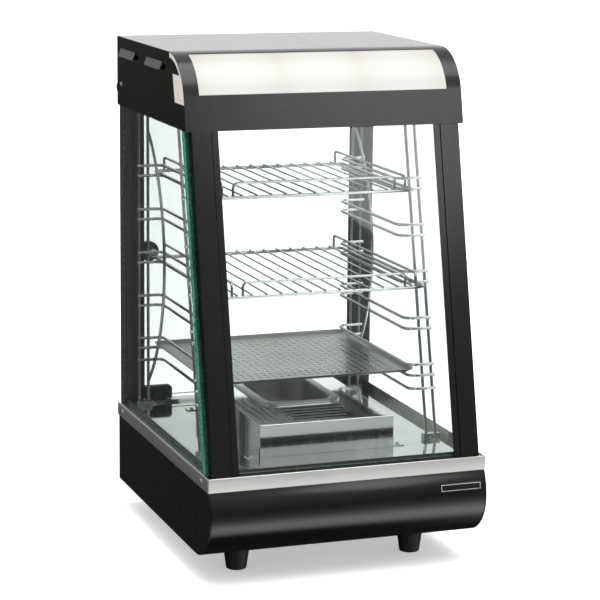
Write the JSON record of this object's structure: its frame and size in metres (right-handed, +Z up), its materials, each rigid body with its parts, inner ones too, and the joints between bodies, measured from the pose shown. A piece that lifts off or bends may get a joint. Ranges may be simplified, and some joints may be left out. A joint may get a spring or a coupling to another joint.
{
  "type": "hot food display case",
  "caption": "Countertop heated food display case: sloped glass front, wire shelves, tray, heater box with water pan, lit hood and hinged glass rear door.",
  "frame": {"origin": "under the middle of the case's bounding box, on the surface that the feet stand on", "axes": "+Z up; -Y is the side with the sloped glass front; +Y is the side with the door and controls; +X to the right of someone facing the front"},
  "size_m": [0.4686, 0.544, 0.8085],
  "materials": {
    "black_paint": "satin",
    "glossy_black_paint": "gloss",
    "satin_steel": "satin",
    "polished_steel": "polished",
    "chrome_wire": "polished",
    "zinc_steel": "plain",
    "clear_glass": "clear",
    "light_cover": "frosted",
    "lamp_glass": "frosted",
    "white_ceramic": "glazed",
    "white_sheet": "gloss",
    "black_plastic": "fine grain",
    "black_rubber": "matt",
    "dark_plastic_plate": "satin",
    "badge_metal": "satin",
    "red_lens": "clear",
    "element_steel": "heat stained",
    "magnet_ferrite": "plain"
  },
  "bodies": {
    "case": {"base_cheek_right": "black_paint", "base_cheek_left": "black_paint", "base_front_panel": "black_paint", "badge_plate": "badge_metal", "base_bottom_plate": "zinc_steel", "base_rear_panel": "black_paint", "feet": "black_rubber", "trim_band": "satin_steel", "floor_plate": "polished_steel", "side_channels": "zinc_steel", "side_glass_right": "clear_glass", "side_glass_left": "clear_glass", "front_post_right": "black_paint", "front_post_left": "black_paint", "glazing_beads": "black_paint", "front_glass": "clear_glass", "front_glass_rest": "black_rubber", "rear_post_right": "black_paint", "rear_post_left": "black_paint", "rear_sill": "polished_steel", "door_pivot_pins": "zinc_steel", "door_catch_magnet": "magnet_ferrite", "hood_cheek_right": "black_paint", "hood_cheek_left": "black_paint", "hood_fascia": "black_paint", "light_diffuser": "light_cover", "hood_top": "glossy_black_paint", "hood_rear_panel": "black_paint", "hood_ceiling": "satin_steel", "lamp_reflector": "white_sheet", "lamp_holders": "white_ceramic", "lamps": "lamp_glass", "wall_buffers": "black_rubber", "side_rack_right": "chrome_wire", "side_rack_left": "chrome_wire", "rack_clips": "satin_steel", "heater_box": "polished_steel", "heater_lugs": "satin_steel", "heating_element": "element_steel", "temperature_feeler": "zinc_steel", "case_screws": "zinc_steel", "thermostat": "black_plastic", "dial_plate": "badge_metal", "switch_frames": "black_plastic", "pilot_lamp": "red_lens", "cable_gland": "black_plastic"},
    "rear_door": {"door_glass": "clear_glass", "lower_hinge_clamp": "dark_plastic_plate", "upper_hinge_clamp": "dark_plastic_plate", "door_catch_plate": "dark_plastic_plate", "door_knob": "black_plastic", "door_knob_screw": "chrome_wire"},
    "upper_shelf_body": {"upper_shelf": "chrome_wire"},
    "lower_shelf_body": {"lower_shelf": "chrome_wire"},
    "tray_body": {"tray": "satin_steel"},
    "water_pan_body": {"water_pan": "polished_steel"},
    "thermostat_knob_body": {"thermostat_knob": "black_plastic", "thermostat_shaft": "zinc_steel"},
    "heating_rocker_body": {"heating_rocker": "black_plastic"},
    "lamp_rocker_body": {"lamp_rocker": "black_plastic"}
  },
  "joints": [
    {"name": "door_hinge", "type": "hinge", "parent": "case", "child": "rear_door", "pos_m": [0.18, 0.2405, 0.19], "axis": [0, 0, -1], "range_deg": [0, 100]},
    {"name": "upper_shelf_slide", "type": "slide", "parent": "case", "child": "upper_shelf_body", "axis": [0, 1, 0], "range_m": [-0.05, 0.002]},
    {"name": "lower_shelf_slide", "type": "slide", "parent": "case", "child": "lower_shelf_body", "axis": [0, 1, 0], "range_m": [-0.035, 0.002]},
    {"name": "tray_slide", "type": "slide", "parent": "case", "child": "tray_body", "axis": [0, 1, 0], "range_m": [-0.05, 0.002]},
    {"name": "water_pan_lift", "type": "slide", "parent": "case", "child": "water_pan_body", "axis": [0, 0, 1], "range_m": [0, 0.044]},
    {"name": "thermostat_turn", "type": "hinge", "parent": "case", "child": "thermostat_knob_body", "pos_m": [-0.12, 0.25, 0.102], "axis": [0, 1, 0], "range_deg": [0, 270]},
    {"name": "heating_switch", "type": "hinge", "parent": "case", "child": "heating_rocker_body", "pos_m": [0.04, 0.244, 0.102], "axis": [1, 0, 0], "range_deg": [0, 16]},
    {"name": "lamp_switch", "type": "hinge", "parent": "case", "child": "lamp_rocker_body", "pos_m": [0.092, 0.244, 0.102], "axis": [1, 0, 0], "range_deg": [0, 16]}
  ]
}
